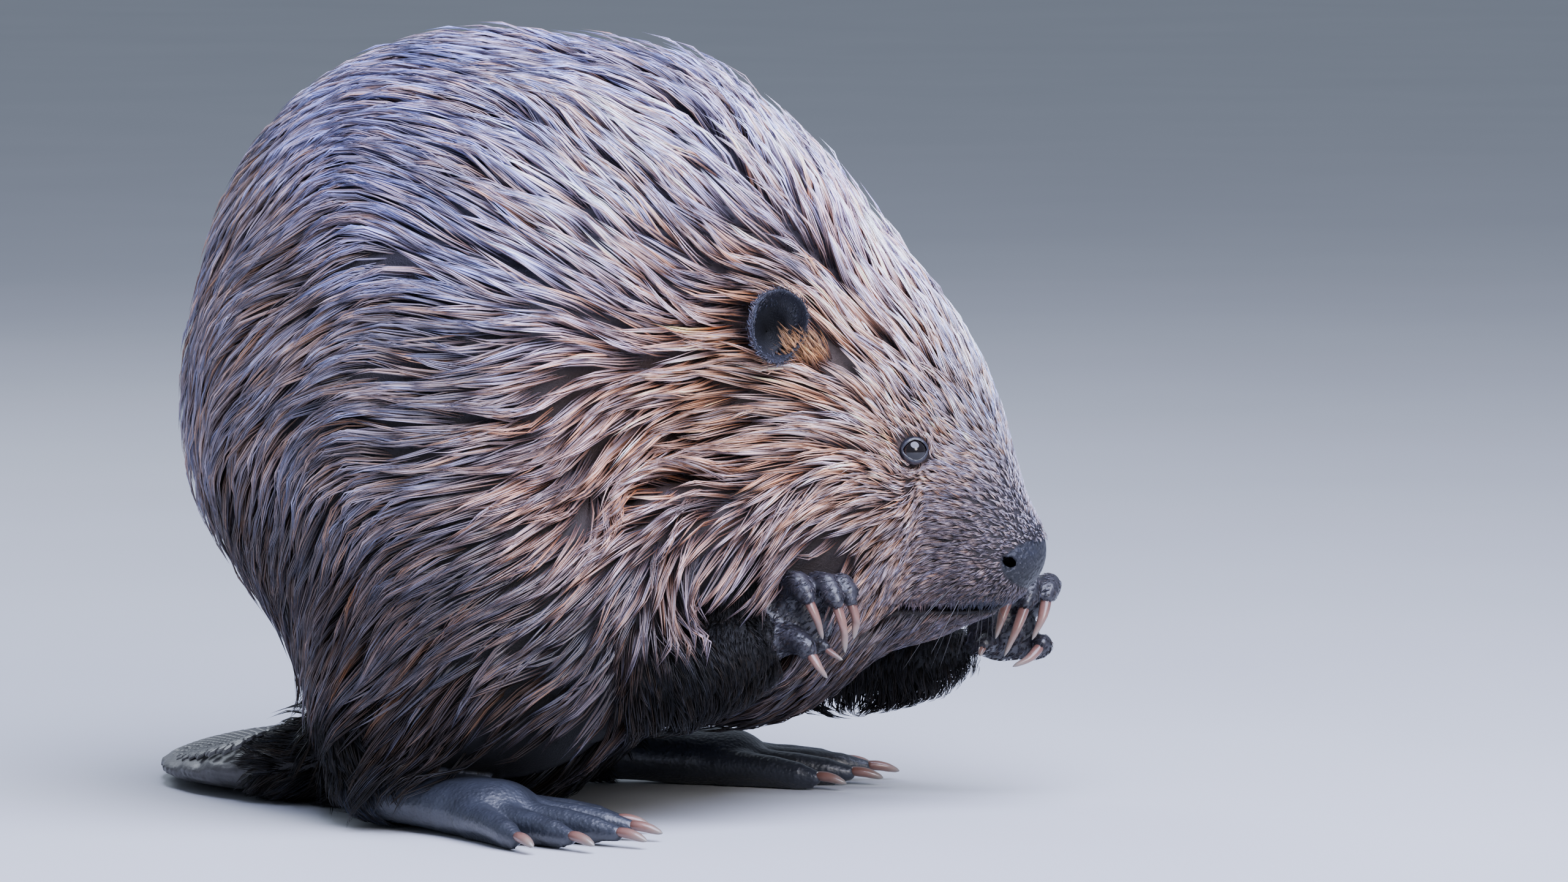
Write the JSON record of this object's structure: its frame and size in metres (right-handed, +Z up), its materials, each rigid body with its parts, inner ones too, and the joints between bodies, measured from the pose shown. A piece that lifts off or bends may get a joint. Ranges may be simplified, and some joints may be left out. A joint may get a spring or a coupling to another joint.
{
  "type": "beaver",
  "caption": "Still life-size model of a beaver sitting hunched on its haunches, both forepaws raised to its mouth, flat scaly tail laid on the floor to its left.",
  "frame": {"origin": "on the floor, at the flat underside of the trunk that it sits on, in the beaver's middle plane", "axes": "+X the way the beaver faces, +Y its left, +Z up"},
  "size_m": [0.4212, 0.4127, 0.3567],
  "materials": {
    "body_coat": "wet guard hair, dark brown at the root and red-brown at the tip",
    "dark_coat": "wet short hair, near black",
    "face_coat": "short hair, warm brown with pale tips",
    "nose_skin": "bare pebbled skin, damp",
    "ear_skin": "thin skin with very short hair",
    "foot_skin": "bare creased skin, damp",
    "tail_scales": "flat leathery scales",
    "eye_gloss": "clear and wet",
    "claw_horn": "smooth horn, pink-brown at the base and grey-ivory at the tip"
  },
  "bodies": {
    "root": {"trunk": "body_coat", "neck": "body_coat", "thigh_right": "body_coat", "thigh_left": "body_coat", "foreleg_right": "dark_coat", "foreleg_left": "dark_coat", "lower_jaw": "dark_coat", "head": "face_coat", "nose": "nose_skin", "ear_right": "ear_skin", "ear_left": "ear_skin", "hind_foot_right": "foot_skin", "hind_foot_left": "foot_skin", "forepaw_right": "foot_skin", "forepaw_left": "foot_skin", "tail": "tail_scales", "eye_right": "eye_gloss", "eye_left": "eye_gloss", "claw_fore_right_1": "claw_horn", "claw_hind_right_1": "claw_horn", "claw_fore_right_2": "claw_horn", "claw_hind_right_2": "claw_horn", "claw_fore_right_3": "claw_horn", "claw_hind_right_3": "claw_horn", "claw_fore_right_4": "claw_horn", "claw_hind_right_4": "claw_horn", "claw_fore_right_5": "claw_horn", "claw_hind_right_5": "claw_horn", "claw_fore_left_1": "claw_horn", "claw_hind_left_1": "claw_horn", "claw_fore_left_2": "claw_horn", "claw_hind_left_2": "claw_horn", "claw_fore_left_3": "claw_horn", "claw_hind_left_3": "claw_horn", "claw_fore_left_4": "claw_horn", "claw_hind_left_4": "claw_horn", "claw_fore_left_5": "claw_horn", "claw_hind_left_5": "claw_horn"}
  },
  "joints": []
}
